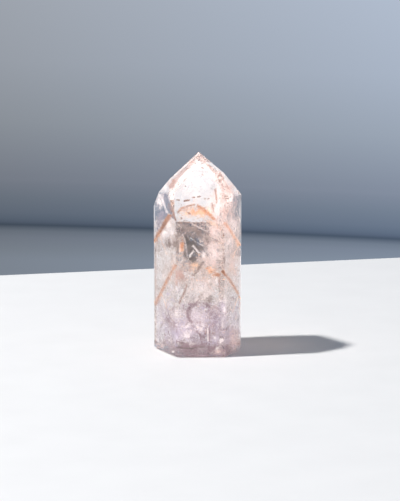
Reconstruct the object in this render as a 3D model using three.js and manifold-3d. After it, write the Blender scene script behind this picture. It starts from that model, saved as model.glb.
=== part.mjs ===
// A polished amethyst tower: one quartz crystal ground to a six-sided prism that stands on a flat foot and
// ends in a six-faced point. Millimetres, +Z up, the origin under the middle of the foot, -Y the front.
import * as THREE from "three";
import { mergeVertices } from "three/addons/utils/BufferGeometryUtils.js";
import Module from "manifold-3d";

const wasm = await Module();
wasm.setup();

// Driving dimensions.
const HEIGHT = 90;
const EASED_EDGE = 0.3; // width of the narrow flat that takes the sharpness off each upright edge
const FOOT_SLOPE = 148; // how far a foot chamfer's outward direction leans over from straight up, in degrees

// The prism's sides, in order round the stone. turn: where the side faces, in degrees from the front
// towards the right. reach: its distance from the axis. foot: how far in from it the ground starts, past
// the chamfer.
const SIDES = {
  front: { turn: 1.5, reach: 17.4, foot: 0.9 },
  frontRight: { turn: 64.1, reach: 18.4, foot: 0.4 },
  backRight: { turn: 119.4, reach: 16.5, foot: 1.0 },
  back: { turn: 179, reach: 17.3, foot: 0.8 },
  backLeft: { turn: 239.4, reach: 18.2, foot: 1.1 },
  frontLeft: { turn: 297.2, reach: 16.5, foot: 1.3 },
};

// The point's facets. slope: the angle between the facet and the ground, in degrees. rise: how far above
// the tip (or below it, if negative) the facet's plane crosses the axis. Three large facets meet at the
// tip, three small ones fill the corners between them, and two long slivers flank the front facet.
const POINT_FACETS = {
  front: { turn: 2.7, slope: 54.7, rise: -4.1 },
  frontRight: { turn: 62.7, slope: 53.8, rise: 6.5 },
  backRight: { turn: 123.4, slope: 56.0, rise: 4.7 },
  back: { turn: 178.0, slope: 53.0, rise: 9.5 },
  backLeft: { turn: 237.5, slope: 57.1, rise: 3.3 },
  frontLeft: { turn: 296.8, slope: 50.5, rise: 2.8 },
  leftSliver: { turn: 318.3, slope: 39.9, rise: -3.4 },
  rightSliver: { turn: 41.7, slope: 35.3, rise: -2.4 },
};

// The corners knocked off the foot. lean: as FOOT_SLOPE. ground: how far from the axis the ground starts.
const FOOT_CHIPS = {
  right: { turn: 92, lean: 150, ground: 17.7 },
  frontLeft: { turn: 333, lean: 140, ground: 18.2 },
  back: { turn: 206, lean: 143, ground: 18.6 },
};

const UP = new THREE.Vector3(0, 0, 1);
const BLOCK = 4 * HEIGHT; // edge of the block that one cut takes away

// The outward direction of a face that faces turn and leans slope degrees over from straight up.
function outward(turn, slope) {
  const t = THREE.MathUtils.degToRad(turn);
  const s = THREE.MathUtils.degToRad(slope);
  return new THREE.Vector3(
    Math.sin(t) * Math.sin(s),
    -Math.cos(t) * Math.sin(s),
    Math.cos(s),
  );
}

// The plane of a side, upright and reach millimetres from the axis.
function sidePlane({ turn, reach }) {
  return { normal: outward(turn, 90), distance: reach };
}

// The plane of a facet of the point, from where it crosses the axis.
function facetPlane({ turn, slope, rise }) {
  const normal = outward(turn, slope);
  return { normal, distance: (HEIGHT + rise) * normal.z };
}

// The plane of a cut under the foot, from where it meets the ground.
function undercutPlane(turn, lean, ground) {
  const normal = outward(turn, lean);
  return { normal, distance: ground * Math.hypot(normal.x, normal.y) };
}

// The narrow flat, EASED_EDGE wide, along the upright edge where sides a and b meet.
function easedEdgePlane(a, b) {
  const sum = a.normal.clone().add(b.normal);
  const edge = (a.distance + b.distance) / sum.length();
  const depth = (EASED_EDGE / 2) * Math.tan(a.normal.angleTo(b.normal) / 2);
  return { normal: sum.normalize(), distance: edge - depth };
}

// A three.js geometry as a manifold-3d solid.
function solidOf(geometry) {
  const bare = geometry.clone();
  bare.deleteAttribute("normal");
  bare.deleteAttribute("uv");
  const merged = mergeVertices(bare);
  return new wasm.Manifold(
    new wasm.Mesh({
      numProp: 3,
      vertProperties: merged.attributes.position.array,
      triVerts: new Uint32Array(merged.index.array),
    }),
  );
}

// A manifold-3d solid as a flat-shaded three.js geometry.
function geometryOf(solid) {
  const mesh = solid.getMesh();
  const geometry = new THREE.BufferGeometry();
  geometry.setAttribute(
    "position",
    new THREE.BufferAttribute(mesh.vertProperties, mesh.numProp),
  );
  geometry.setIndex(new THREE.BufferAttribute(mesh.triVerts, 1));
  const flat = geometry.toNonIndexed();
  flat.computeVertexNormals();
  return flat;
}

// The rough stone before grinding: a plain block with its underside on the ground.
function roughStone() {
  const block = new THREE.BoxGeometry(HEIGHT, HEIGHT, 2 * HEIGHT);
  block.translate(0, 0, HEIGHT);
  return solidOf(block);
}

// Takes away all that lies beyond the plane, as a flat lap does.
function grind(stone, { normal, distance }) {
  const block = new THREE.BoxGeometry(BLOCK, BLOCK, BLOCK);
  block.translate(0, 0, BLOCK / 2 + distance);
  block.applyQuaternion(new THREE.Quaternion().setFromUnitVectors(UP, normal));
  return stone.subtract(solidOf(block));
}

function towerGeometry() {
  const sides = Object.values(SIDES).map(sidePlane);
  const cuts = [
    ...sides,
    ...Object.values(POINT_FACETS).map(facetPlane),
    ...sides.map((side, i) => easedEdgePlane(side, sides[(i + 1) % sides.length])),
    ...Object.values(SIDES).map(({ turn, reach, foot }) =>
      undercutPlane(turn, FOOT_SLOPE, reach - foot),
    ),
    ...Object.values(FOOT_CHIPS).map(({ turn, lean, ground }) =>
      undercutPlane(turn, lean, ground),
    ),
  ];
  const geometry = geometryOf(cuts.reduce(grind, roughStone()));
  geometry.computeBoundingBox();
  const middle = geometry.boundingBox.getCenter(new THREE.Vector3());
  return geometry.translate(-middle.x, -middle.y, 0);
}

const paleQuartz = new THREE.MeshStandardMaterial({
  color: 0xe6d9e0,
  roughness: 0.05,
  metalness: 0,
  transparent: true,
  opacity: 0.45,
});

const amethystTower = new THREE.Group();
const tower = new THREE.Mesh(towerGeometry(), paleQuartz);
tower.name = "tower";
amethystTower.add(tower);

export default amethystTower;
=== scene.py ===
# A polished amethyst tower on a pale table in soft light. Lengths are millimetres until a mesh is made.
import math

import bmesh
import bpy
import numpy as np
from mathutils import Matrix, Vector, noise


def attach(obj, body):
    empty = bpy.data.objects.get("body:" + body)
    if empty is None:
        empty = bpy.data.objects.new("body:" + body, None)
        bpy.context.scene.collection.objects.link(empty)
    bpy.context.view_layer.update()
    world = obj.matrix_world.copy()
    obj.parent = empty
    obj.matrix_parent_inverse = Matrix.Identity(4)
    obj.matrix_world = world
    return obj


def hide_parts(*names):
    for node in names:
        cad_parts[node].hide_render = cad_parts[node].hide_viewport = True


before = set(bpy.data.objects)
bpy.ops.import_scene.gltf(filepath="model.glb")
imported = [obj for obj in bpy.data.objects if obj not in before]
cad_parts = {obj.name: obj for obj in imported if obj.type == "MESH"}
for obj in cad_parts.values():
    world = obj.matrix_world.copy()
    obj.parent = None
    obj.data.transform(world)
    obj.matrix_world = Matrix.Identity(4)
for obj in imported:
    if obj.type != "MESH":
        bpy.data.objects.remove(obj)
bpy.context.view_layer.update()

MM = 0.001
HEIGHT = 90.0
QUARTZ_IOR = 1.544

# The camera, fitted to the photo's frame of 400 by 501 pixels. Millimetres, before SHIFT.
PICTURE = (400, 501)
CAMERA_PITCH = 9.9
CAMERA_DISTANCE = 1000.0
CAMERA_TARGET = Vector((1.16, 0, 45.59))
LENS_MM = 159.1
SENSOR_MM = 36.0
CLIP_START = 0.01

# The prism's sides and the point's facets, as the solid has them. turn: where the face looks, in degrees
# from the front towards the right. slope: its angle to the ground. rise: how far above the tip its plane
# crosses the axis.
SIDES = {
    "front": dict(turn=1.5, reach=17.4, foot=0.9),
    "front_right": dict(turn=64.1, reach=18.4, foot=0.4),
    "back_right": dict(turn=119.4, reach=16.5, foot=1.0),
    "back": dict(turn=179.0, reach=17.3, foot=0.8),
    "back_left": dict(turn=239.4, reach=18.2, foot=1.1),
    "front_left": dict(turn=297.2, reach=16.5, foot=1.3),
}
POINT_FACETS = {
    "front": dict(turn=2.7, slope=54.7, rise=-4.1),
    "front_right": dict(turn=62.7, slope=53.8, rise=6.5),
    "back_right": dict(turn=123.4, slope=56.0, rise=4.7),
    "back": dict(turn=178.0, slope=53.0, rise=9.5),
    "back_left": dict(turn=237.5, slope=57.1, rise=3.3),
    "front_left": dict(turn=296.8, slope=50.5, rise=2.8),
    "left_sliver": dict(turn=318.3, slope=39.9, rise=-3.4),
    "right_sliver": dict(turn=41.7, slope=35.3, rise=-2.4),
}

# The cuts under the foot: a chamfer below each side, and three corners knocked off. slope: how far a cut
# leans over from straight up. ground: how far from the axis it meets the ground.
FOOT_SLOPE = 148.0
FOOT_CHIPS = {
    "right": dict(turn=92.0, slope=150.0, ground=17.7),
    "front_left": dict(turn=333.0, slope=140.0, ground=18.2),
    "back": dict(turn=206.0, slope=143.0, ground=18.6),
}

# The narrow flats that ease the edges, and how straight up an edge must run to count as a side edge.
EASED_SIDE_EDGE = 0.3
EASED_EDGE = 0.22
UPRIGHT = 0.99
# How close a cut passes to a corner that it runs through, and how close two corners are that are one.
CUT_GAP = 1e-4
MERGE_GAP = 1e-3

# The two phantoms: earlier points of the growing crystal, dusted with iron oxide. peak: where the face's
# plane crosses the axis.
UPPER_PHANTOM = {
    "back_left": dict(turn=237.3, slope=49.6, peak=69.4),
    "back_right": dict(turn=125.2, slope=42.4, peak=62.1),
    "front": dict(turn=2.7, slope=50.0, peak=55.0),
}
LOWER_PHANTOM = {
    "back_left": dict(turn=235.9, slope=47.3, peak=39.6),
    "back_right": dict(turn=126.0, slope=43.6, peak=37.9),
    "front": dict(turn=2.7, slope=48.0, peak=30.0),
}
PHANTOM_SEED = 11
UPPER_CHIPS, LOWER_CHIPS = 7000, 6000
PHANTOM_CHIP = 0.13
# How far inside the sides a phantom's faces end, how thick its dust lies, and how steady its chips' sizes.
PHANTOM_INSET = 0.4
PHANTOM_BLUR = 0.3
PHANTOM_SPREAD = 0.45
# Its rims on the crystal's sides: how dense, how thick, how deep at least, how far forward they come, and
# how much their chips' directions vary.
RIM_CHIPS_PER_MM = 22
RIM_BLUR = 0.2
RIM_ROOM = 0.2
RIM_FRONT = -9.0
RIM_RUFFLE = 0.3

# A chip is a flat closed tetrahedron. In shares of its size: how far its corners lie from its middle, how
# tall it is, and how much room it needs. Its corners stray by CHIP_TWIST radians.
CHIP_REACH = (0.6, 1.2)
CHIP_HEIGHT = 0.12
CHIP_ROOM = 1.4
CHIP_TWIST = 0.4
CHIP_FACES = ((0, 2, 1), (0, 1, 3), (1, 2, 3), (2, 0, 3))
# Its corners' places in its own cell of the texture square, with the tip in the middle of the base.
CHIP_CELL = ((0.1, 0.1), (0.9, 0.1), (0.5, 0.9), (0.5, 0.37))

# The way that the marks face, between the lamp and the camera, and how much a chip elsewhere turns to it
# and to the face that it lies nearest to.
LIT = (-0.4, -0.8, 0.5)
LIT_SHARE, FACE_SHARE = 0.35, 0.65

# How far most chips of an oval or a wisp lie from its middle, as a share of its half width.
PATCH_SPREAD = 0.5

CLOUD_SEED = 5
# The clouds that thin the chips out, as fractal noise.
CLOUD_FALL, CLOUD_STEP, CLOUD_OCTAVES = 1.0, 2.0, 4

# How fast a line of sight sinks behind the front side, in millimetres for each millimetre.
FRONT_DIP = 0.111
# The parts of the front where one sees deep into clear quartz: x, z, half width, half height, and the share
# of the milkiness that is left there. It comes back from WINDOW_RIM out, in half widths.
CLEAR_WINDOWS = [
    (-1.8, 50.0, 5.5, 6.5, 0.05),
    (-2.0, 58.0, 9.0, 4.5, 0.3),
]
WINDOW_RIM = 0.6
WINDOW_FADE = 0.5

# The haze of fine chips: how many, between which heights, their size, how far inside the faces it starts,
# and over how many millimetres it thins out from there. The tries are spread over a wider block. Last, how
# much the chips' directions and sizes vary.
HAZE_CHIPS = 35000
HAZE_LOW, HAZE_HIGH = 0.5, 60
HAZE_CHIP = 0.27
HAZE_ROOM = 1.2
HAZE_FADE = 6
HAZE_TRIES = 9
HAZE_BLOCK = 20
HAZE_RUFFLE, HAZE_SPREAD = 0.15, 0.3

# The wisps, thin curved shreds of chips like healed fractures. count: how many. each: chips in one. heart,
# spread: where their middles lie. long, wide: the ranges of their half lengths. run: the direction that
# they stretch in, give or take stray.
WISPS = {
    "milky_wisps": dict(
        count=135, each=150, heart=(0, -3, 32), spread=(12, 9, 15),
        long=(2, 6), wide=(0.3, 1.2), size=0.17, dust="milky_quartz", run=(0.3, 0, 1),
    ),
    "shaded_wisps": dict(
        count=45, each=130, heart=(0, -4, 30), spread=(12, 9, 16),
        long=(1.5, 4), wide=(0.5, 1.6), size=0.16, dust="shaded_quartz", run=(0.3, 0, 1),
    ),
    "rosy_wisps": dict(
        count=80, each=110, heart=(6, -4, 46), spread=(9, 9, 12),
        long=(2, 5), wide=(0.3, 1.1), size=0.16, dust="rosy_quartz", run=(0, 0, 1),
    ),
    "right_wisps": dict(
        count=60, each=110, heart=(12, -3, 62), spread=(4, 7, 9),
        long=(1, 5), wide=(0.3, 1), size=0.16, dust="rosy_quartz", run=(0, 0, 1), stray=0.3,
    ),
    "lilac_wisps": dict(
        count=130, each=150, heart=(1, -5, 13), spread=(11, 8, 6),
        long=(1, 5), wide=(0.3, 1.2), size=0.16, dust="lilac_amethyst",
    ),
    "mauve_wisps": dict(
        count=50, each=120, heart=(1, -6, 12), spread=(11, 8, 7),
        long=(1, 4), wide=(0.15, 0.6), size=0.15, dust="mauve_amethyst",
    ),
    "foot_wisps": dict(
        count=60, each=100, heart=(1, -9, 2.4), spread=(13, 7, 1.2),
        long=(2, 6), wide=(0.1, 0.5), size=0.14, dust="mauve_amethyst", run=(1, 0, 0), stray=0.2,
    ),
}
WISP_TRIES = 4
WISP_ROOM = 0.8
# How far a wisp bows, how far it wanders in millimetres and over what length, and how its chips' directions
# and sizes vary.
WISP_BOW = 0.06
WANDER, WANDER_LENGTH = 1.2, 5
WISP_TURN, WISP_RUFFLE, WISP_SPREAD = 0.25, 0.15, 0.5

# The dusts that the chips are made of; some are painted shade, and some serve painted shade or glints
# besides, as their names say.
# First the clouds of colour in a metre, then the darker and the paler colour, which DUST_STOPS places in
# the clouds.
DUSTS = {
    "milky_quartz": (200, (0.64, 0.63, 0.62), (0.80, 0.79, 0.78)),
    "white_quartz_and_painted_glints": (200, (0.80, 0.80, 0.79), (0.92, 0.92, 0.92)),
    "shaded_quartz": (150, (0.40, 0.35, 0.33), (0.56, 0.51, 0.48)),
    "rosy_quartz": (300, (0.66, 0.54, 0.50), (0.80, 0.74, 0.72)),
    "peach_iron": (200, (0.78, 0.46, 0.27), (0.90, 0.68, 0.47)),
    "rusty_iron": (260, (0.34, 0.16, 0.08), (0.58, 0.32, 0.18)),
    "dark_painted_shade": (200, (0.10, 0.088, 0.083), (0.22, 0.20, 0.19)),
    "blue_grey_painted_shade": (200, (0.21, 0.22, 0.28), (0.37, 0.38, 0.45)),
    "umber_iron_and_painted_shade": (260, (0.20, 0.11, 0.07), (0.36, 0.22, 0.16)),
    "lilac_amethyst": (320, (0.46, 0.43, 0.54), (0.66, 0.65, 0.73)),
    "mauve_amethyst": (240, (0.23, 0.16, 0.19), (0.38, 0.31, 0.34)),
    "rose_quartz_and_painted_shade": (300, (0.40, 0.27, 0.235), (0.56, 0.43, 0.39)),
    "brown_grey_painted_shade": (300, (0.20, 0.165, 0.15), (0.34, 0.295, 0.275)),
}
DUST_STOPS = (0.35, 0.6)
DUST_ROUGHNESS = 0.6
IRON_CLOUDS = 260
IRON_STOPS = [(0.3, (0.84, 0.50, 0.30)), (0.5, (0.92, 0.68, 0.50)), (0.7, (0.95, 0.85, 0.76))]

# The haze's colours by height in metres, from the lilac foot up, how far they wander up and down, and the
# darker blotches in them.
GROWTH_STOPS = [
    (0.000, (0.38, 0.32, 0.34)),
    (0.004, (0.48, 0.42, 0.45)),
    (0.008, (0.52, 0.50, 0.55)),
    (0.018, (0.55, 0.54, 0.59)),
    (0.024, (0.58, 0.58, 0.58)),
    (0.038, (0.61, 0.60, 0.58)),
    (0.045, (0.63, 0.60, 0.57)),
    (0.070, (0.74, 0.69, 0.66)),
]
GROWTH_CLOUDS = 160
GROWTH_DETAIL = 5.0
GROWTH_WANDER = 0.006
NOISE_LOW, NOISE_HIGH = 0.3, 0.7
BLOTCH_CLOUDS = 400
BLOTCH_STOPS = [(0.38, (0.68, 0.65, 0.64)), (0.55, (1.0, 1.0, 1.0))]

# The clear body: its faint tints, the wear of its polish, its ripple in metres, and what it absorbs.
TINT_CLOUDS = 60
TINT_STOPS = [(0.3, (1.0, 0.985, 0.985)), (0.7, (0.985, 0.975, 1.0))]
POLISH_CLOUDS = 400
POLISH_STOPS = [(0.4, (0.0, 0.0, 0.0)), (0.8, (0.03, 0.03, 0.03))]
RIPPLE = 0.00001
ABSORPTION_COLOUR = (0.90, 0.83, 0.82, 1)
ABSORPTION_DENSITY = 2.0

# The marks that the photo shows through the front are ovals and strokes of chips. An oval: its column and
# row in the picture, half width, half height, how near behind the surface and how far, how dense, and,
# where it leans, by how many degrees. A stroke: width, near, far, how dense, and the places it runs
# through.
MARK_ROOM = 1.3
MARK_SIZES = (0.5, 1.6)
MARK_RUFFLE = 0.2
OVAL_DENSITY = 3
STROKE_SPREAD = 0.4

# The white marks are partly milky veins and partly painted highlights: the glint at the tip, the glare and
# the bright patch at the upper left, the X below the middle, the sparkles low down, and the bright lines
# along the point's edges.
WHITE_OVALS = [
    # Painted highlight: the glint at the tip.
    (198.8, 153.4, 1.6, 1.6, 0.08, 0.4, 40),
    (196, 185, 24, 26, 0.9, 2.2, 9),
    (222, 196, 6, 18, 0.3, 1.5, 6),
    (212, 205, 6, 12, 0.5, 2, 8),
    (231, 200, 5, 10, 0.3, 1.5, 8),
    (229, 230, 4, 10, 0.4, 1.5, 7),
    (214, 254, 8, 12, 0.4, 2, 5),
    (163.5, 185.5, 4, 6, 0.3, 1, 24),
    (234.5, 227, 5, 9, 0.35, 1.0, 18),
    (230, 242, 4, 8, 0.35, 1.0, 20),
    (237, 193, 3, 3, 0.3, 1, 12),
    (239.4, 208, 1.2, 14, 0.3, 0.8, 12),
    (230.5, 222, 2.6, 4, 0.4, 1.5, 12),
    # Painted reflection: the next two ovals are the bright patch at the upper left.
    (168.5, 226, 4, 6, 0.35, 1.0, 27),
    (164.5, 234, 4, 5, 0.35, 1.0, 25),
    (172, 233, 4, 6, 0.4, 1.5, 12),
    # Painted highlight: the glare at the top of the left side.
    (160, 201, 4, 9, 0.3, 1.2, 22),
    (171.6, 244, 1.2, 5, 0.3, 0.8, 14),
    (180, 249, 1.2, 8, 0.3, 0.8, 9),
    (214, 231, 4, 5, 0.5, 2, 9),
    (227, 250, 1.8, 12, 0.5, 2, 12),
    (203.5, 255, 2.4, 3.4, 0.4, 1.5, 14),
    # Painted glints: the dot by the X, then the sparkles low down.
    (190.2, 256.3, 1.4, 1.4, 0.12, 0.3, 30),
    (177.1, 324.8, 1.4, 1.4, 0.3, 0.6, 30),
    (155.5, 320.4, 1.0, 2.4, 0.3, 0.6, 26),
    (221.6, 341, 2.4, 3.0, 0.3, 0.6, 26),
    (215, 338, 1.2, 1.8, 0.3, 0.6, 16),
    (217, 348.4, 1.6, 1.6, 0.3, 0.6, 22),
    (173.1, 352, 1.4, 1.2, 0.3, 0.6, 24),
    (169.4, 340.6, 1.2, 1.5, 0.3, 0.6, 20),
    (216.4, 280, 1.3, 1.5, 0.3, 0.6, 22),
    (169.4, 276, 1.4, 2.4, 0.3, 0.6, 18),
    (163, 262, 7, 16, 1, 4, 2, 12),
    (163, 303, 6, 14, 1, 4, 3, 25),
    (202, 289, 12, 9, 1, 5, 7),
    (226, 300, 6, 12, 1, 5, 5),
    (198, 317, 9, 8, 0.5, 3, 8),
    (186, 335, 6, 5, 0.4, 1.5, 16),
    (177.5, 314, 7, 6, 0.8, 3, 7),
    (187, 326, 6, 3, 0.4, 1.5, 14, -20),
    (200, 327, 5, 5, 0.4, 1.5, 12),
    (226, 311, 2, 8, 0.4, 1.5, 12, -40),
    (222.6, 323, 1.6, 9, 0.4, 1.5, 9),
    (190, 344, 3, 4, 0.4, 1.5, 9, -30),
    (220.2, 177.6, 1.3, 1.6, 0.3, 0.8, 18),
    (222.2, 181.9, 1.3, 1.8, 0.3, 0.8, 18),
]
WHITE_STROKES = [
    (4, 0.5, 1.0, 24, (195.5, 164), (188, 172), (180, 182), (171, 192), (172, 200)),
    (6, 0.5, 1.0, 20, (199, 161), (198, 170)),
    (4, 0.5, 1.0, 20, (203.5, 163.5), (210, 172), (216, 179)),
    (3, 0.6, 1.2, 7, (218, 180), (217, 200), (215, 218)),
    # Painted highlights: the bright lines along the point's edges, then the X.
    (1.1, 0.15, 0.4, 26, (198.6, 153.6), (190, 161.2), (180, 170.2), (166, 182.5)),
    (1.1, 0.15, 0.4, 22, (203.5, 156), (212, 163), (222, 172.5), (232, 183)),
    (1.5, 0.12, 0.3, 44, (189.4, 256.0), (194.0, 250.4)),
    (1.5, 0.12, 0.3, 46, (192.8, 245.2), (199.2, 253.4)),
    (1.0, 0.3, 0.8, 10, (190.5, 222.5), (197, 226.5), (208, 232)),
    (0.9, 0.3, 0.8, 8, (190, 237.5), (196, 242), (203.5, 246)),
    (1.0, 0.3, 0.8, 9, (182.5, 234), (185.3, 240), (186.3, 249), (188.5, 261)),
    (1.6, 0.3, 0.8, 18, (162.3, 198.5), (166.6, 211.5), (169.2, 215)),
    (1.2, 0.3, 0.8, 18, (169, 215.5), (175, 222)),
    (1.0, 0.3, 0.8, 22, (207.7, 328), (207.9, 341)),
    (1.6, 0.3, 0.9, 10, (218.8, 187), (219, 205), (219, 216)),
]
BLUSH_OVALS = [
    (202.2, 158.6, 3.5, 2.6, 0.12, 0.5, 30, 40),
    (210.5, 167.5, 2, 6, 0.12, 0.5, 20, -45),
    (228, 187, 9, 12, 0.3, 1.5, 12, 40),
    (220, 176, 5, 8, 0.3, 1.2, 10, 40),
    (223, 210, 6, 12, 0.4, 2, 10),
    (234, 220, 7, 16, 0.6, 4, 7),
    (214, 250, 9, 16, 0.5, 3, 7),
    (213, 230, 6, 6, 0.3, 1.0, 12),
    (233, 258, 7, 18, 0.6, 5, 10),
    (212, 262, 8, 6, 0.5, 3, 7),
    (233, 280, 5, 10, 0.6, 3, 6),
    (234, 334, 7, 14, 0.4, 2, 9),
    (235, 340, 6, 11, 0.3, 1.0, 20),
    (160, 345, 8, 4, 0.4, 2, 6),
    (219, 352, 8, 3, 0.3, 1, 9),
]
BLUSH_STROKES = [
    (1.6, 0.15, 0.4, 24, (199.8, 155), (196, 159.4), (190, 164.5)),
    (1.4, 0.15, 0.4, 22, (200.8, 156), (203, 160), (208, 165)),
    (1.4, 0.3, 1.0, 12, (220.7, 194), (221.7, 204)),
    (1.6, 0.2, 0.7, 12, (213, 219), (222, 225), (225.5, 222.5)),
]
ROSE_OVALS = [
    (172, 183, 3.4, 5, 0.15, 0.5, 30, 30),
    (180.5, 276, 6, 7, 0.3, 1, 22, 20),
    (234, 262, 5, 14, 0.4, 1.5, 5),
    (176, 283, 3, 4, 0.4, 2, 8),
    (234, 347, 6, 5, 0.4, 1.5, 4),
    (160, 347, 4, 2, 0.3, 1, 8),
    (185, 209, 5, 3, 0.4, 1.2, 7),
    # Painted shade: the next oval is the brown wedge along the front facet's left edge.
    (172, 213, 3, 8, 0.3, 1.2, 9, -20),
    (231, 212, 4, 12, 0.5, 2, 3),
]
ROSE_STROKES = [
    (1.2, 0.15, 0.4, 18, (199.6, 154.6), (196.4, 158.8)),
    (1.0, 0.15, 0.4, 14, (200.6, 155.4), (203, 160)),
    (3.2, 0.15, 0.5, 18, (193, 161.5), (188, 166), (178, 175.5), (170, 188)),
    (1.4, 0.15, 0.4, 12, (192, 164), (187, 169), (177, 179.5), (168.5, 190.5)),
    (1.2, 0.3, 0.7, 12, (215, 189), (217, 203)),
    (1.2, 0.3, 0.7, 12, (221.5, 180), (223.5, 195), (221, 203)),
    (1.3, 0.3, 0.7, 10, (212, 203), (214, 213)),
    (1.2, 0.3, 0.7, 10, (227, 186), (232, 193)),
    (1.3, 0.15, 0.4, 12, (203, 160), (208, 165), (213, 170), (217, 174)),
    (1.8, 0.15, 0.4, 14, (155.6, 238), (155.6, 275)),
    (1.8, 0.15, 0.4, 13, (155.7, 275), (155.7, 342)),
    (1.8, 0.15, 0.4, 14, (240.0, 248), (240.0, 290)),
    (1.8, 0.15, 0.4, 12, (239.8, 312), (239.5, 348)),
    (1.6, 0.3, 0.8, 9, (219.6, 277), (219, 288)),
    (1.4, 0.3, 0.8, 10, (189, 262), (190.5, 272)),
]
# Painted shade: brown-grey chips in the darker zone below the front facet, in the grey block at the left,
# and along the left edge.
TAUPE_OVALS = [
    (172, 183.5, 2.6, 4, 0.12, 0.4, 10, 30),
    (185.3, 186.2, 1, 1, 0.2, 0.5, 14),
    (171, 244, 8, 4, 0.3, 1, 13),
    (186, 229, 11, 7, 0.25, 0.8, 16),
    (200, 233, 8, 7, 0.25, 0.8, 15),
    (208, 240, 5, 7, 0.5, 3, 8),
    (178, 236, 6, 5, 0.5, 2, 7),
    (171, 245, 9, 4, 0.5, 2, 8),
    (224, 257, 1.6, 6, 0.4, 1.2, 9),
    (209, 300, 4, 4, 0.4, 2, 8, 40),
    (182, 343, 5, 3, 0.4, 1.5, 8),
    (234, 206, 2.4, 8, 0.4, 1.5, 3),
]
TAUPE_STROKES = [
    (1.4, 0.3, 0.8, 16, (168.9, 239.5), (169.3, 248)),
    (1.6, 0.3, 0.8, 16, (177.6, 241), (177.9, 253)),
    (2.2, 0.3, 0.8, 10, (174.6, 241), (174.8, 247)),
    (2.0, 0.3, 0.9, 14, (204, 262), (199, 267.5), (193.3, 276)),
    (1.2, 0.2, 0.5, 26, (155.2, 246), (155.2, 344)),
    (0.9, 0.1, 0.3, 10, (203.4, 170.8), (202, 173.6)),
    (1.2, 0.1, 0.3, 16, (214, 184), (211.2, 189.4)),
]
PEACH_OVALS = [
    (200, 212, 13, 5, 0.5, 1.5, 14),
    (187, 213, 8, 4, 0.5, 1.5, 7),
    (195, 266, 5, 5, 0.5, 1.5, 12),
    (182, 246, 2.4, 7, 0.4, 1.2, 18),
    (233, 270, 5, 7, 0.5, 1.5, 4),
    (213, 224, 8, 3, 0.4, 1.5, 7, 25),
    (212.5, 271.5, 6, 4, 0.3, 1, 14, 35),
]
PEACH_STROKES = [
    (2.2, 0.3, 0.5, 24, (224.9, 222.5), (231.2, 232), (236.2, 240), (239.6, 246)),
    (2.0, 0.4, 0.7, 12, (222, 270.5), (228.2, 278), (233.8, 286), (238.6, 294.5)),
]
RUST_OVALS = [
    (173.6, 180.6, 1.6, 1.6, 0.2, 0.5, 16),
    (213, 207, 1.5, 3.5, 0.4, 1, 12),
    (207.5, 268, 1.6, 1.8, 0.3, 0.8, 14, 40),
    (213.5, 272.5, 3, 2.6, 0.2, 0.6, 34, 30),
    (217.5, 275, 3, 2, 0.2, 0.6, 28, 30),
    (182, 246, 2, 6, 0.25, 0.7, 20),
    (182.5, 240.5, 1.6, 1.2, 0.3, 0.8, 12),
]
RUST_STROKES = [
    (0.9, 0.1, 0.3, 12, (201.2, 174.8), (204.4, 175.2)),
    (2.4, 0.3, 0.6, 20, (197, 205.3), (203, 209), (209, 214), (214.5, 219.8)),
    (1.5, 0.3, 0.6, 16, (177.5, 213), (182.5, 207.5), (190, 205.5), (195, 204.5)),
    (3.0, 0.25, 0.5, 36, (170.2, 214.5), (165.4, 222), (162.3, 228), (157.5, 235), (154.6, 241.5)),
    (1.6, 0.22, 0.45, 24, (224.9, 222.5), (231.2, 232), (236.2, 240), (239.6, 246)),
    (2.6, 0.2, 0.5, 34, (175.6, 264.5), (165.5, 284), (155, 305)),
    (2.0, 0.22, 0.45, 40, (222, 270.5), (228.2, 278), (233.8, 286), (238.6, 294.5)),
    (1.6, 0.15, 0.4, 22, (239.0, 295.5), (240.0, 304), (240.0, 313)),
    (1.0, 0.3, 1.0, 12, (215.6, 188.4), (216.6, 202.7)),
]
UMBER_OVALS = [
    (204.3, 208, 1.3, 1.1, 0.3, 0.8, 18),
    (181.4, 218.4, 1.4, 1.1, 0.3, 0.8, 16),
    (219.6, 180.6, 1.3, 1.3, 0.3, 0.8, 18),
    (223.4, 235.3, 1.1, 1.7, 0.3, 0.8, 16),
    (216.6, 241, 1.3, 1.1, 0.3, 0.8, 16),
]
UMBER_STROKES = [
    (1.2, 0.2, 0.45, 36, (187.5, 212), (190.5, 214.2)),
    (1.2, 0.2, 0.45, 24, (176, 199.7), (179.8, 200.4)),
    (1.2, 0.2, 0.45, 36, (183.7, 201.2), (189.8, 200)),
    (1.1, 0.2, 0.45, 26, (192, 197.8), (195, 197.2)),
    (1.1, 0.2, 0.45, 28, (197, 197), (200.5, 196.2)),
    (1.1, 0.2, 0.45, 24, (204.3, 199.3), (205.6, 198)),
    (1.1, 0.2, 0.45, 24, (207.6, 199.3), (209, 198)),
    (1.4, 0.08, 0.25, 44, (220.7, 172), (217.8, 178)),
    (1.3, 0.08, 0.25, 36, (221.4, 179.6), (219.6, 182.6)),
    # Painted shade: this stroke is the dark wedge along the front facet's left edge.
    (2.0, 0.3, 0.8, 12, (168.6, 203), (171.5, 211), (175.6, 220.5)),
    (2.8, 0.2, 0.4, 44, (170.2, 214.8), (165.6, 222), (162.4, 228.4)),
    (1.0, 0.2, 0.4, 24, (162.4, 228.4), (157.5, 235)),
    (0.9, 0.2, 0.4, 24, (172, 270), (164.2, 285), (158, 298)),
    (1.0, 0.2, 0.4, 30, (222.2, 271), (228, 278), (233.6, 286), (238, 293)),
    (1.2, 0.3, 0.8, 8, (177, 222.5), (212, 223.2)),
    (1.4, 0.3, 0.8, 16, (186.8, 284), (184.5, 292), (181, 299), (179.5, 304)),
    (1.3, 0.3, 0.8, 10, (231.5, 202), (229, 216)),
    (1.2, 0.3, 0.8, 8, (235.5, 196), (236.5, 206)),
    (1.0, 0.2, 0.7, 10, (222, 270), (222.3, 262)),
]
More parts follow.
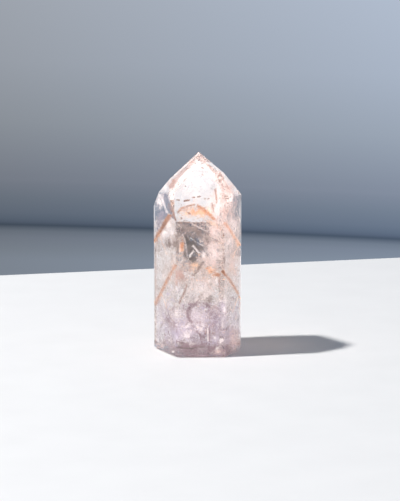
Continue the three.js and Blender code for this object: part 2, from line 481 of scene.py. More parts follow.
# Painted shade: near-black chips below the middle, where the front shows the dark wall through clear
# quartz. The last stroke is a dark arc low in the foot.
DARK_SHADE_OVALS = [
    (189.5, 247, 5, 13, 0.3, 0.9, 18),
    (195, 247, 5, 8, 0.3, 0.9, 16, -30),
    (192.8, 258.6, 4, 4, 0.3, 0.8, 50),
    (185.2, 255, 1.8, 3.4, 0.4, 1.0, 22),
    (201, 248, 3, 3.4, 0.4, 1.0, 16),
]
DARK_SHADE_STROKES = [
    (1.8, 0.3, 0.8, 20, (184.5, 234.5), (187.5, 241), (189, 250)),
    (1.2, 0.3, 0.8, 22, (192, 241), (197.5, 247)),
    (1.1, 0.3, 0.8, 12, (176.5, 347.5), (190, 348.4), (205, 346.6)),
]
# Painted shade: blue-grey chips on the upper left and the upper right, the colour of the wall seen through
# the crystal.
BLUE_GREY_SHADE_OVALS = [
    (165.5, 198, 4, 8, 0.4, 1.5, 12, -15),
    (161.5, 216, 4, 6, 0.3, 1.2, 26, 20),
    (160, 221.5, 3, 5, 0.3, 1.1, 24, 20),
    (157.5, 228, 2.4, 6, 0.3, 1.2, 12, 20),
    (236, 200, 3, 8, 0.4, 1.2, 16),
    (236, 218, 4, 8, 0.4, 2, 5),
]
MAUVE_OVALS = [
    (171.5, 323.5, 5, 8, 0.25, 0.7, 26, -40),
    (190, 312, 3, 5, 0.4, 1.5, 9),
    (192.5, 304, 7, 3, 0.4, 1.2, 12, -15),
    (207, 305.5, 6, 3, 0.4, 1.2, 14, 20),
    (198, 322, 4, 3, 0.4, 1.2, 9),
    (205.5, 333, 2.4, 6, 0.4, 1.2, 14, 20),
    (164, 316, 6, 14, 0.5, 2, 4),
    (213, 316, 7, 8, 0.4, 2, 7),
    (215, 326, 6, 8, 0.4, 2, 6),
    (193, 352, 20, 3, 0.3, 1.2, 4),
    (186, 346, 8, 4, 0.3, 1.5, 9),
    (166, 340, 8, 5, 0.4, 2, 5),
]
MAUVE_STROKES = [
    (2.4, 0.25, 0.6, 24, (197, 304.4), (191, 306), (188.5, 310), (187.5, 314)),
    (2.2, 0.25, 0.6, 22, (187.5, 314), (189.5, 320.5), (193, 322.5)),
    (1.4, 0.3, 0.8, 16, (166, 317), (170, 323), (175, 327)),
    (1.3, 0.3, 0.8, 18, (209.3, 327.5), (209.6, 341)),
    (1.3, 0.3, 0.8, 16, (172, 311), (175, 305.5)),
    (1.1, 0.3, 0.8, 12, (183.5, 305), (183.7, 311)),
    (1.4, 0.3, 0.8, 14, (213, 306.5), (219, 309)),
    (1.4, 0.3, 0.8, 14, (196, 331), (204, 338)),
    (1.6, 0.3, 0.8, 12, (199.5, 334), (202.5, 345)),
    (1.2, 0.3, 0.8, 16, (157, 345.5), (178, 354.5), (200, 355.5), (226, 354)),
    (1.2, 0.3, 0.8, 14, (165, 345), (176, 347.5), (205, 346.5), (222, 350)),
    (1.2, 0.3, 0.8, 14, (176, 341), (192, 346), (206, 345)),
    (1.4, 0.3, 0.8, 6, (205, 350.5), (216, 352.5)),
]
LILAC_OVALS = [
    (178, 330, 12, 12, 0.5, 3, 7),
    (197, 315, 12, 12, 0.5, 4, 6),
    (217, 318, 12, 13, 0.5, 4, 6),
    (187, 333, 14, 8, 0.5, 4, 5),
    (222, 306, 4, 5, 0.4, 2, 8),
]

# The marks' meshes: the chips' size, their dust, the ovals and the strokes.
MARKS = {
    "white_marks": (0.14, "white_quartz_and_painted_glints", WHITE_OVALS, WHITE_STROKES),
    "rosy_marks": (0.14, "rosy_quartz", BLUSH_OVALS, BLUSH_STROKES),
    "peach_marks": (0.14, "peach_iron", PEACH_OVALS, PEACH_STROKES),
    "rusty_marks": (0.13, "rusty_iron", RUST_OVALS, RUST_STROKES),
    "umber_marks": (0.12, "umber_iron_and_painted_shade", UMBER_OVALS, UMBER_STROKES),
    "rose_marks": (0.14, "rose_quartz_and_painted_shade", ROSE_OVALS, ROSE_STROKES),
    "taupe_marks": (0.16, "brown_grey_painted_shade", TAUPE_OVALS, TAUPE_STROKES),
    "dark_painted_shade_marks": (0.16, "dark_painted_shade", DARK_SHADE_OVALS, DARK_SHADE_STROKES),
    "blue_grey_painted_shade_marks": (0.16, "blue_grey_painted_shade", BLUE_GREY_SHADE_OVALS, []),
    "mauve_marks": (0.14, "mauve_amethyst", MAUVE_OVALS, MAUVE_STROKES),
    "lilac_marks": (0.16, "lilac_amethyst", LILAC_OVALS, []),
}

# The table, in metres: how far it reaches to the sides and the front, where its back edge runs, and the
# hair by which it lies below the foot.
TABLE_SIDE = 0.7
TABLE_BACK_LEFT = 0.036
TABLE_BACK_RIGHT = 0.384
TABLE_TOP = -0.00005
TABLE_CLOUDS = 40
TABLE_STOPS = [(0.3, (0.82, 0.83, 0.85)), (0.7, (0.84, 0.85, 0.87))]
TABLE_ROUGHNESS = 0.7

# The wall behind: its shades by height, from the floor's far edge up.
WORLD_LOW, WORLD_HIGH = -0.5, 0.5
WALL_TILT = (0.037, 0, 1)
WALL_STOPS = [
    (-0.50, (0.20, 0.23, 0.29)),
    (-0.178, (0.21, 0.245, 0.30)),
    (-0.143, (0.184, 0.207, 0.255)),
    (-0.117, (0.266, 0.296, 0.342)),
    (-0.090, (0.325, 0.358, 0.415)),
    (-0.043, (0.374, 0.410, 0.473)),
    (0.10, (0.36, 0.38, 0.42)),
    (0.50, (0.17, 0.19, 0.22)),
]
# The dark strip where the wall meets the floor, as a share of those shades.
STRIP_LOW, STRIP_HIGH = -0.19, -0.14
STRIP_STOPS = [
    (-0.1780, (1.0, 1.0, 1.0)),
    (-0.1737, (0.92, 0.92, 0.91)),
    (-0.1683, (0.82, 0.82, 0.83)),
    (-0.1656, (0.69, 0.71, 0.72)),
    (-0.1643, (0.52, 0.55, 0.58)),
    (-0.1629, (0.28, 0.33, 0.38)),
    (-0.1616, (0.42, 0.47, 0.54)),
    (-0.1602, (0.50, 0.56, 0.62)),
    (-0.1575, (0.61, 0.66, 0.71)),
    (-0.1508, (0.77, 0.81, 0.83)),
    (-0.1430, (1.0, 1.0, 1.0)),
]
# The wall's left and right ends, as a share too.
WALL_HALF = 0.09
WALL_ENDS = [(-WALL_HALF, (0.96, 0.95, 0.93)), (WALL_HALF, (1.22, 1.28, 1.35))]

# The lamps, in metres and watts. lit: what a lamp lights. blocking: what casts its shadows. Without them it
# is everything. The inclusions have lamps of their own, which reach them from all round, as light does that
# is once in the crystal. The glow is the light that the crystal lets through into its own shadow.
STONE = (0, 0, 0.03)
LAMPS = {
    "key": dict(place=(-1.40, -0.33, 2.06), aim=STONE, size=0.16, power=70, colour=(1.0, 0.97, 0.93)),
    "key_inside": dict(
        place=(-0.75, -0.175, 0.99), aim=STONE, size=0.25, power=2.5, colour=(1.0, 0.98, 0.96),
        lit="inclusions", blocking="inclusions",
    ),
    "key_left": dict(
        place=(-0.45, -0.9, 0.8), aim=STONE, size=0.25, power=7.4, colour=(1.0, 0.98, 0.96),
        lit="inclusions", blocking="table",
    ),
    "key_right": dict(
        place=(0.6, -0.8, 0.7), aim=STONE, size=0.25, power=7.8, colour=(1.0, 0.99, 0.98),
        lit="inclusions", blocking="table",
    ),
    "key_back_left": dict(
        place=(-0.9, 0.6, 0.6), aim=STONE, size=0.25, power=8, colour=(1.0, 0.99, 0.98),
        lit="inclusions", blocking="table",
    ),
    "key_back_right": dict(
        place=(0.7, 0.8, 0.6), aim=STONE, size=0.25, power=8, colour=(1.0, 0.99, 0.98),
        lit="inclusions", blocking="table",
    ),
    "glow": dict(
        place=(0.032, 0.012, 0.03), aim=(0.032, 0.012, 0), size=0.01, power=0.0007,
        colour=(1.0, 0.5, 0.15), lit="table", blocking="table",
    ),
}
BOUNCES = dict(max_bounces=32, transmission_bounces=32, glossy_bounces=16, diffuse_bounces=12)


def outward(turn, slope):
    """The direction of a face that looks towards turn and leans slope degrees over from straight up."""
    t, s = math.radians(turn), math.radians(slope)
    return Vector((math.sin(t) * math.sin(s), -math.cos(t) * math.sin(s), math.cos(s)))


def side_plane(turn, reach, **_):
    return outward(turn, 90), reach


def facet_plane(turn, slope, rise):
    normal = outward(turn, slope)
    return normal, (HEIGHT + rise) * normal.z


def phantom_plane(turn, slope, peak):
    normal = outward(turn, slope)
    return normal, peak * normal.z


def undercut_plane(turn, slope, ground):
    normal = outward(turn, slope)
    return normal, ground * math.hypot(normal.x, normal.y)


def grind(bm, planes, mark=0):
    """Grinds the closed mesh flat on each plane in turn, and marks the faces so made."""
    layer = bm.faces.layers.int.get("mark") or bm.faces.layers.int.new("mark")
    for normal, distance in planes:
        everything = bm.verts[:] + bm.edges[:] + bm.faces[:]
        cut = bmesh.ops.bisect_plane(
            bm, geom=everything, dist=CUT_GAP, plane_co=normal * distance, plane_no=normal, clear_outer=True
        )
        rim = [e for e in cut["geom_cut"] if isinstance(e, bmesh.types.BMEdge)]
        for face in bmesh.ops.holes_fill(bm, edges=rim)["faces"]:
            face[layer] = mark
    bmesh.ops.remove_doubles(bm, verts=bm.verts, dist=MERGE_GAP)
    bmesh.ops.recalc_face_normals(bm, faces=bm.faces)
    bm.normal_update()


def rough_block():
    """A plain block with its underside on the ground."""
    bm = bmesh.new()
    bmesh.ops.create_cube(bm, size=2 * HEIGHT)
    bmesh.ops.translate(bm, verts=bm.verts, vec=(0, 0, HEIGHT))
    return bm


def easing(bm):
    """The planes that ease the mesh's present edges."""
    planes = []
    for edge in bm.edges:
        a, b = (face.normal for face in edge.link_faces)
        half = a.angle(b) / 2
        normal = (a + b).normalized()
        way = (edge.verts[0].co - edge.verts[1].co).normalized()
        width = EASED_SIDE_EDGE if abs(way.z) > UPRIGHT else EASED_EDGE
        depth = width / 2 * math.tan(half)
        planes.append((normal, edge.verts[0].co.dot(normal) - depth))
    return planes


def tower_solid():
    bm = rough_block()
    grind(bm, [side_plane(**s) for s in SIDES.values()])
    grind(bm, [facet_plane(**f) for f in POINT_FACETS.values()])
    grind(bm, [undercut_plane(s["turn"], FOOT_SLOPE, s["reach"] - s["foot"]) for s in SIDES.values()])
    grind(bm, [undercut_plane(**c) for c in FOOT_CHIPS.values()])
    grind(bm, easing(bm))
    return bm


def shift_to_middle():
    """The step that puts the origin under the middle of the solid's box."""
    bm = tower_solid()
    xs = [v.co.x for v in bm.verts]
    ys = [v.co.y for v in bm.verts]
    bm.free()
    return Vector((-(min(xs) + max(xs)) / 2, -(min(ys) + max(ys)) / 2, 0))


def new_object(name, mesh, material):
    obj = bpy.data.objects.new(name, mesh)
    bpy.context.scene.collection.objects.link(obj)
    mesh.materials.append(material)
    return obj


def triangle_mesh(name, points, loops):
    """A mesh of flat triangles. points are in metres, and loops has three corners for each triangle."""
    count = len(loops) // 3
    mesh = bpy.data.meshes.new(name)
    mesh.vertices.add(len(points))
    mesh.vertices.foreach_set("co", points.reshape(-1))
    mesh.loops.add(len(loops))
    mesh.loops.foreach_set("vertex_index", loops.astype(np.int32))
    mesh.polygons.add(count)
    mesh.polygons.foreach_set("loop_start", np.arange(0, len(loops), 3, dtype=np.int32))
    mesh.polygons.foreach_set("use_smooth", np.zeros(count, dtype=bool))
    mesh.update(calc_edges=True)
    return mesh


def lay_out(mesh, count, loops):
    """Gives each chip a cell of its own in the texture square."""
    across = math.ceil(math.sqrt(count))
    cell = np.arange(count)
    corner = np.stack([cell % across, cell // across], axis=1) / across
    shape = np.array(CHIP_CELL) / across
    spots = (corner[:, None] + shape[None]).reshape(-1, 2)
    mesh.uv_layers.new(name="OFBake").uv.foreach_set("vector", spots[loops].reshape(-1).astype(np.float32))


def chips(name, places, normals, sizes, material, rng):
    """One joined mesh of tiny chips round places in the crystal, before SHIFT, lying square to normals."""
    centres = places + np.array(SHIFT)
    count = len(centres)
    helper = rng.normal(size=(count, 3))
    u = np.cross(normals, helper)
    u /= np.linalg.norm(u, axis=1, keepdims=True)
    v = np.cross(normals, u)
    corners = []
    for i in range(3):
        angle = math.tau * i / 3 + rng.uniform(-CHIP_TWIST, CHIP_TWIST, count)
        radius = sizes * rng.uniform(*CHIP_REACH, count)
        along_u = u * (np.cos(angle) * radius)[:, None]
        along_v = v * (np.sin(angle) * radius)[:, None]
        corners.append(centres + along_u + along_v)
    corners.append(centres + normals * (sizes * CHIP_HEIGHT)[:, None])
    points = np.stack(corners, axis=1).reshape(-1, 3) * MM
    base = np.arange(count)[:, None] * len(corners)
    loops = np.concatenate([base + face for face in CHIP_FACES], axis=1).reshape(-1)
    mesh = triangle_mesh(name, points, loops)
    lay_out(mesh, count, loops)
    return new_object(name, mesh, material)


def unit(vectors):
    return vectors / np.linalg.norm(vectors, axis=-1, keepdims=True)


def spots_on(face, count, rng):
    """count points spread evenly over a flat convex face, as an array."""
    corners = [np.array(v.co) for v in face.verts]
    fan = [(corners[0], corners[i], corners[i + 1]) for i in range(1, len(corners) - 1)]
    areas = np.array([np.linalg.norm(np.cross(b - a, c - a)) / 2 for a, b, c in fan])
    picks = rng.choice(len(fan), size=count, p=areas / areas.sum())
    a, b, c = (np.array([t[i] for t in fan])[picks] for i in range(3))
    r, s = np.sqrt(rng.random(count))[:, None], rng.random(count)[:, None]
    return a * (1 - r) + b * (r * (1 - s)) + c * (r * s)


def side_edge_planes(sides):
    """The narrow flats along the prism's upright edges."""
    planes = []
    for (a, reach_a), (b, reach_b) in zip(sides, sides[1:] + sides[:1]):
        both = a + b
        depth = EASED_SIDE_EDGE / 2 * math.tan(a.angle(b) / 2)
        planes.append((both.normalized(), (reach_a + reach_b) / both.length - depth))
    return planes


def body_planes():
    """The crystal's faces, without the cuts under the foot, the ground last."""
    sides = [side_plane(**s) for s in SIDES.values()]
    facets = [facet_plane(**f) for f in POINT_FACETS.values()]
    return sides + side_edge_planes(sides) + facets + [(Vector((0, 0, -1)), 0.0)]


def depth_inside(points):
    """How far each point lies inside the crystal's nearest face, in millimetres."""
    return np.min([distance - points @ np.array(normal) for normal, distance in body_planes()], axis=0)


def nearest_face(points):
    """The outward direction of the crystal's upright or sloping face that each point lies nearest to."""
    planes = body_planes()[:-1]
    normals = np.array([normal for normal, _ in planes])
    gaps = np.array([distance for _, distance in planes]) - points @ normals.T
    return normals[gaps.argmin(axis=1)]


def facing_out(points, stray, rng):
    """Directions that the growth at each point faces: out of the nearest face, give or take stray."""
    ruffle = rng.normal(size=points.shape) * stray
    return unit(ruffle + FACE_SHARE * nearest_face(points) + LIT_SHARE * np.array(LIT))


def cloudiness(points, cloud):
    """Fractal noise, about -1 to 1, at each point. cloud is the size of its largest clouds."""
    form = CLOUD_FALL, CLOUD_STEP, CLOUD_OCTAVES
    return np.array([noise.fractal(Vector(p) / cloud, *form) for p in points])


def thinned(spots, rng, cloud, base, swing, least):
    """The spots that are left where clouds thin them out: base of them, more or fewer by swing."""
    share = np.clip(base + swing * cloudiness(spots, cloud), least, 1)
    return spots[rng.random(len(spots)) < share]


def window(points):
    """How much of the milkiness there is at each point: less on the line of sight through clear windows."""
    entry = points[:, 2] + FRONT_DIP * (points[:, 1] + SIDES["front"]["reach"])
    share = np.ones(len(points))
    for x, z, wide, tall, left in CLEAR_WINDOWS:
        off = np.hypot((points[:, 0] - x) / wide, (entry - z) / tall)
        share *= left + (1 - left) * np.clip((off - WINDOW_RIM) / WINDOW_FADE, 0, 1)
    return share


def camera_axes():
    """The camera's way ahead and its way up."""
    pitch = math.radians(CAMERA_PITCH)
    return Vector((0, math.cos(pitch), -math.sin(pitch))), Vector((0, math.sin(pitch), math.cos(pitch)))


def sight(columns, rows, depths):
    """The places in the crystal that the camera sees at the picture's columns and rows, so many millimetres
    behind the surface, along rays that bend where they enter."""
    ahead, up = (np.array(v) for v in camera_axes())
    eye = np.array(CAMERA_TARGET) - CAMERA_DISTANCE * ahead
    focal = LENS_MM / SENSOR_MM * max(PICTURE)
    right = np.array((1.0, 0, 0))
    aside, below = columns - PICTURE[0] / 2, rows - PICTURE[1] / 2
    rays = unit(focal * ahead + aside[:, None] * right - below[:, None] * up)
    normals = np.array([normal for normal, _ in body_planes()])
    distances = np.array([distance for _, distance in body_planes()])
    facing = rays @ normals.T
    reach = np.where(facing < 0, (distances - normals @ eye) / facing, -np.inf)
    normal = normals[reach.argmax(axis=1)]
    entry = eye + rays * reach.max(axis=1)[:, None]
    slant = -(rays * normal).sum(axis=1)
    bend = 1 / QUARTZ_IOR
    turn = bend * slant - np.sqrt(1 - bend**2 * (1 - slant**2))
    return entry + (bend * rays + turn[:, None] * normal) * depths[:, None]


def oval(rng, column, row, wide, tall, near, far, dense, lean=0):
    """Places for chips in an oval patch of the picture, thinning out to its rim."""
    count = int(OVAL_DENSITY * dense * wide * tall)
    a, b = rng.normal(size=(2, count)) * PATCH_SPREAD
    cos, sin = math.cos(math.radians(lean)), math.sin(math.radians(lean))
    columns = column + wide * a * cos - tall * b * sin
    rows = row + wide * a * sin + tall * b * cos
    spots = sight(columns, rows, rng.uniform(near, far, count))
    return thinned(spots, rng, cloud=1.6, base=0.6, swing=0.9, least=0.1)


def stroke(rng, width, near, far, dense, *path):
    """Places for chips along a bent line through places in the picture."""
    path = np.array(path, dtype=float)
    steps = np.diff(path, axis=0)
    lengths = np.linalg.norm(steps, axis=1)
    count = int(dense * width * lengths.sum())
    leg = rng.choice(len(steps), size=count, p=lengths / lengths.sum())
    spots = path[leg] + steps[leg] * rng.random(count)[:, None]
    square = np.stack([-steps[:, 1], steps[:, 0]], axis=1) / lengths[:, None]
    spots += square[leg] * rng.normal(size=count)[:, None] * width * STROKE_SPREAD
    return sight(spots[:, 0], spots[:, 1], rng.uniform(near, far, count))


def marks(name, rng, dusts, size, dust, ovals, strokes):
    """One mesh of chips for all the patches and lines of a colour."""
    spots = [oval(rng, *o) for o in ovals] + [stroke(rng, *s) for s in strokes]
    spots = np.concatenate(spots)
    sizes = size * rng.uniform(*MARK_SIZES, len(spots))
    keep = depth_inside(spots) > MARK_ROOM * sizes
    spots, sizes = spots[keep], sizes[keep]
    normals = unit(rng.normal(size=spots.shape) * MARK_RUFFLE + np.array(LIT))
    return chips(name, spots, normals, sizes, dusts[dust], rng)


def wisps(
    name, rng, dusts, count, each, heart, spread, long, wide, size, dust, run=(0, 0, 0), stray=0.6
):
    """One mesh of wisps. Its values are described at WISPS."""
    middles = np.array(heart) + rng.normal(size=(WISP_TRIES * count, 3)) * np.array(spread)
    middles = middles[depth_inside(middles) > WISP_ROOM][:count]
    count = len(middles)
    facing = facing_out(middles, WISP_TURN, rng)
    along = rng.normal(size=(count, 3)) * stray + np.array(run)
    along = unit(along - (along * facing).sum(axis=1, keepdims=True) * facing)
    across = np.cross(facing, along)
    a = rng.normal(size=(count, each)) * PATCH_SPREAD * rng.uniform(*long, count)[:, None]
    b = rng.normal(size=(count, each)) * PATCH_SPREAD * rng.uniform(*wide, count)[:, None]
    bow = rng.normal(size=(count, 1)) * WISP_BOW * a**2
    spots = middles[:, None] + along[:, None] * a[..., None] + across[:, None] * (b + bow)[..., None]
    spots = spots.reshape(-1, 3)
    spots += np.array([noise.noise_vector(Vector(p) / WANDER_LENGTH) for p in spots]) * WANDER
    normals = np.repeat(facing, each, axis=0) + rng.normal(size=(count * each, 3)) * WISP_RUFFLE
    keep = depth_inside(spots) > WISP_ROOM
    keep &= rng.random(len(spots)) < window(spots)
    sizes = size * rng.lognormal(0, WISP_SPREAD, len(spots))
    return chips(name, spots[keep], unit(normals[keep]), sizes[keep], dusts[dust], rng)


def haze(name, rng, material):
    """Fine chips spread all through the crystal between two heights, in soft fractal clouds."""
    low, high = (-HAZE_BLOCK, -HAZE_BLOCK, HAZE_LOW), (HAZE_BLOCK, HAZE_BLOCK, HAZE_HIGH)
    spots = rng.uniform(low, high, size=(HAZE_TRIES * HAZE_CHIPS, 3))
    spots = spots[depth_inside(spots) > HAZE_ROOM]
    spots = spots[rng.random(len(spots)) < window(spots)]
    spots = spots[rng.random(len(spots)) < np.exp((HAZE_ROOM - depth_inside(spots)) / HAZE_FADE)]
    spots = thinned(spots, rng, cloud=3.5, base=0.45, swing=1.3, least=0.06)[:HAZE_CHIPS]
    normals = facing_out(spots, HAZE_RUFFLE, rng)
    sizes = HAZE_CHIP * rng.lognormal(0, HAZE_SPREAD, len(spots))
    return chips(name, spots, normals, sizes, material, rng)


def rim_spots(edge, rng):
    """Places along an edge where a phantom meets a side of the crystal, but for the front."""
    a, b = (np.array(v.co) for v in edge.verts)
    count = int(RIM_CHIPS_PER_MM * np.linalg.norm(b - a))
    spots = a + (b - a) * rng.random(count)[:, None] + rng.normal(scale=RIM_BLUR, size=(count, 3))
    spots = spots[spots[:, 1] > RIM_FRONT]
    return spots[depth_inside(spots) > RIM_ROOM]


def phantom(name, faces_of, count, material, rng):
    """Iron oxide dust on the buried faces of an earlier point of the crystal."""
    bm = rough_block()
    grind(bm, [side_plane(s["turn"], s["reach"] - PHANTOM_INSET) for s in SIDES.values()])
    grind(bm, [phantom_plane(**f) for f in faces_of.values()], mark=1)
    layer = bm.faces.layers.int["mark"]
    buried = [f for f in bm.faces if f[layer] == 1]
    whole = sum(f.calc_area() for f in buried)
    centres, normals = [], []
    for face in buried:
        spots = spots_on(face, int(count * face.calc_area() / whole), rng)
        spots = thinned(spots, rng, cloud=7.0, base=0.55, swing=0.9, least=0.05)
        spots += np.array(face.normal) * rng.normal(scale=PHANTOM_BLUR, size=len(spots))[:, None]
        centres.append(spots)
        normals.append(np.tile(np.array(face.normal), (len(spots), 1)))
    for edge in bm.edges:
        if sum(f[layer] for f in edge.link_faces) == 1:
            spots = rim_spots(edge, rng)
            centres.append(spots)
            normals.append(facing_out(spots, RIM_RUFFLE, rng))
    bm.free()
    centres = np.concatenate(centres)
    normals = np.concatenate(normals)
    sizes = PHANTOM_CHIP * rng.lognormal(0, PHANTOM_SPREAD, len(centres))
    sizes = np.minimum(sizes, depth_inside(centres) / CHIP_ROOM)
    return chips(name, centres, normals, sizes, material, rng)


def new_material(name, build):
    """A node material whose Principled shader is set up by build(tree, shader)."""
    made = bpy.data.materials.new(name)
    made.use_nodes = True
    tree = made.node_tree
    build(tree, tree.nodes["Principled BSDF"])
    return made


def new_node(tree, kind, **values):
    """A new shader node. values: its inputs' values, with _ for the spaces in the inputs' names."""
    made = tree.nodes.new("ShaderNode" + kind)
    for name, value in values.items():
        made.inputs[name.replace("_", " ")].default_value = value
    return made


def colour_ramp(tree, factor, stops):
    """The colour that stops, as positions and colours, give to a factor."""
    ramp = new_node(tree, "ValToRGB")
    elements = ramp.color_ramp.elements
    while len(elements) < len(stops):
        elements.new(0.5)
    for element, (position, colour) in zip(elements, stops):
        element.position = position
        element.color = (*colour, 1)
    tree.links.new(factor, ramp.inputs["Fac"])
    return ramp.outputs["Color"]


def clouds(tree, scale, detail=2.0):
    """Noise in the piece's own space. scale is in clouds per metre."""
    place = new_node(tree, "TexCoord")
    cloud = new_node(tree, "TexNoise", Scale=scale, Detail=detail)
    tree.links.new(place.outputs["Object"], cloud.inputs["Vector"])
    return cloud.outputs["Fac"]


def mottle(tree, scale, stops):
    return colour_ramp(tree, clouds(tree, scale), stops)


def multiplied(tree, a, b):
    """The product of two colours."""
    product = new_node(tree, "Mix")
    product.data_type = "RGBA"
    product.blend_type = "MULTIPLY"
    product.inputs["Factor"].default_value = 1.0
    tree.links.new(a, product.inputs["A"])
    tree.links.new(b, product.inputs["B"])
    return product.outputs["Result"]


def clear_quartz():
    def build(tree, shader):
        shader.inputs["Transmission Weight"].default_value = 1.0
        shader.inputs["IOR"].default_value = QUARTZ_IOR
        cloud = clouds(tree, TINT_CLOUDS)
        tree.links.new(colour_ramp(tree, cloud, TINT_STOPS), shader.inputs["Base Color"])
        tree.links.new(mottle(tree, POLISH_CLOUDS, POLISH_STOPS), shader.inputs["Roughness"])
        bump = new_node(tree, "Bump", Distance=RIPPLE)
        tree.links.new(cloud, bump.inputs["Height"])
        tree.links.new(bump.outputs["Normal"], shader.inputs["Normal"])
        absorption = new_node(
            tree, "VolumeAbsorption", Color=ABSORPTION_COLOUR, Density=ABSORPTION_DENSITY
        )
        tree.links.new(absorption.outputs["Volume"], tree.nodes["Material Output"].inputs["Volume"])

    return new_material("clear_quartz", build)


def dust_material(name, scale, stops):
    def build(tree, shader):
        tree.links.new(mottle(tree, scale, stops), shader.inputs["Base Color"])
        shader.inputs["Roughness"].default_value = DUST_ROUGHNESS

    return new_material(name, build)


def growth_dust():
    """Chips coloured by their height in the crystal, in bands that wander up and down."""
    def build(tree, shader):
        place = new_node(tree, "TexCoord")
        split = new_node(tree, "SeparateXYZ")
        stray = new_node(
            tree, "MapRange", From_Min=NOISE_LOW, From_Max=NOISE_HIGH,
            To_Min=-GROWTH_WANDER, To_Max=GROWTH_WANDER,
        )
        total = new_node(tree, "Math")
        share = new_node(tree, "MapRange", From_Max=HEIGHT * MM)
        tree.links.new(place.outputs["Object"], split.inputs["Vector"])
        tree.links.new(clouds(tree, GROWTH_CLOUDS, GROWTH_DETAIL), stray.inputs["Value"])
        tree.links.new(split.outputs["Z"], total.inputs[0])
        tree.links.new(stray.outputs["Result"], total.inputs[1])
        tree.links.new(total.outputs["Value"], share.inputs["Value"])
        stops = [(height / (HEIGHT * MM), colour) for height, colour in GROWTH_STOPS]
        bands = colour_ramp(tree, share.outputs["Result"], stops)
        blotches = mottle(tree, BLOTCH_CLOUDS, BLOTCH_STOPS)
        tree.links.new(multiplied(tree, bands, blotches), shader.inputs["Base Color"])
        shader.inputs["Roughness"].default_value = DUST_ROUGHNESS

    return new_material("milky_growth", build)


def add_tower():
    bm = tower_solid()
    bmesh.ops.translate(bm, verts=bm.verts, vec=SHIFT)
    bmesh.ops.scale(bm, verts=bm.verts, vec=(MM, MM, MM))
    mesh = bpy.data.meshes.new("clear_body")
    bm.to_mesh(mesh)
    bm.free()
    tower = new_object("clear_body", mesh, clear_quartz())
    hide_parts("tower")
    return tower


def add_phantoms():
    rng = np.random.default_rng(PHANTOM_SEED)
    iron = dust_material("iron_dust", IRON_CLOUDS, IRON_STOPS)
    return [
        phantom("upper_phantom", UPPER_PHANTOM, UPPER_CHIPS, iron, rng),
        phantom("lower_phantom", LOWER_PHANTOM, LOWER_CHIPS, iron, rng),
    ]


def add_clouds():
    """The haze, the wisps and the marks."""
    rng = np.random.default_rng(CLOUD_SEED)
    noise.seed_set(CLOUD_SEED)
    growth = growth_dust()
    dusts = {}
    for name, (scale, *tones) in DUSTS.items():
        dusts[name] = dust_material(name, scale, list(zip(DUST_STOPS, tones)))
    pieces = [haze("growth_haze", rng, growth)]
    for name, values in WISPS.items():
        pieces.append(wisps(name, rng, dusts, **values))
    for name, values in MARKS.items():
        pieces.append(marks(name, rng, dusts, *values))
    return pieces


def add_camera():
    ahead, _ = camera_axes()
    data = bpy.data.cameras.new("camera")
    data.lens = LENS_MM
    data.sensor_width = SENSOR_MM
    data.clip_start = CLIP_START
    camera = bpy.data.objects.new("camera", data)
    camera.location = (CAMERA_TARGET + SHIFT - CAMERA_DISTANCE * ahead) * MM
    camera.rotation_euler = (math.pi / 2 - math.radians(CAMERA_PITCH), 0, 0)
    bpy.context.scene.collection.objects.link(camera)
    bpy.context.scene.camera = camera


def add_table():
    corners = [
        (-TABLE_SIDE, -TABLE_SIDE, TABLE_TOP),
        (TABLE_SIDE, -TABLE_SIDE, TABLE_TOP),
        (TABLE_SIDE, TABLE_BACK_RIGHT, TABLE_TOP),
        (-TABLE_SIDE, TABLE_BACK_LEFT, TABLE_TOP),
    ]
    mesh = bpy.data.meshes.new("table")
    mesh.from_pydata(corners, [], [(0, 1, 2, 3)])

    def build(tree, shader):
        tree.links.new(mottle(tree, TABLE_CLOUDS, TABLE_STOPS), shader.inputs["Base Color"])
        shader.inputs["Roughness"].default_value = TABLE_ROUGHNESS

    table = new_object("table", mesh, new_material("pale_table", build))
    return table


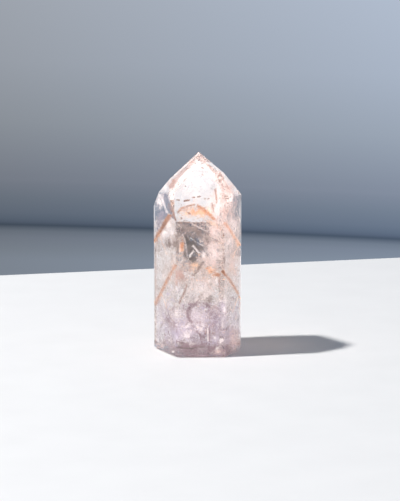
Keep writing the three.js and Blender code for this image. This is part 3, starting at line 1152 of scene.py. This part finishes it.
def world_ramp(tree, place, way, low, high, stops):
    """Colours by how far a direction points along way. stops are from low to high."""
    along = new_node(tree, "VectorMath")
    along.operation = "DOT_PRODUCT"
    along.inputs[1].default_value = way
    reach = new_node(tree, "MapRange", From_Min=low, From_Max=high)
    tree.links.new(place.outputs["Generated"], along.inputs[0])
    tree.links.new(along.outputs["Value"], reach.inputs["Value"])
    stops = [((position - low) / (high - low), colour) for position, colour in stops]
    return colour_ramp(tree, reach.outputs["Result"], stops)


def add_world():
    world = bpy.data.worlds.new("studio")
    bpy.context.scene.world = world
    world.use_nodes = True
    tree = world.node_tree
    place = new_node(tree, "TexCoord")
    wall = world_ramp(tree, place, WALL_TILT, WORLD_LOW, WORLD_HIGH, WALL_STOPS)
    strip = world_ramp(tree, place, WALL_TILT, STRIP_LOW, STRIP_HIGH, STRIP_STOPS)
    ends = world_ramp(tree, place, (1, 0, 0), -WALL_HALF, WALL_HALF, WALL_ENDS)
    colour = multiplied(tree, multiplied(tree, wall, strip), ends)
    tree.links.new(colour, tree.nodes["Background"].inputs["Color"])


def group(name, objects):
    collection = bpy.data.collections.new(name)
    for obj in objects:
        collection.objects.link(obj)
    return collection


def add_lamp(name, groups, place, aim, size, power, colour, lit=None, blocking=None):
    data = bpy.data.lights.new(name, "AREA")
    data.shape = "DISK"
    data.size = size
    data.energy = power
    data.color = colour
    lamp = bpy.data.objects.new(name, data)
    lamp.location = place
    lamp.rotation_euler = (Vector(aim) - Vector(place)).to_track_quat("-Z", "Y").to_euler()
    lamp.light_linking.receiver_collection = groups.get(lit)
    lamp.light_linking.blocker_collection = groups.get(blocking)
    bpy.context.scene.collection.objects.link(lamp)


def add_lamps(table, inclusions):
    groups = {"inclusions": group("inside", inclusions), "table": group("unshaded", [table])}
    for name, values in LAMPS.items():
        add_lamp(name, groups, **values)


def set_render():
    scene = bpy.context.scene
    scene.view_settings.view_transform = "Standard"
    for name, count in BOUNCES.items():
        setattr(scene.cycles, name, count)


SHIFT = shift_to_middle()

add_camera()
table = add_table()
add_world()
set_render()

inclusions = [*add_phantoms(), *add_clouds()]
add_lamps(table, inclusions)

pieces = [add_tower(), *inclusions]
for piece in pieces:
    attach(piece, "root")
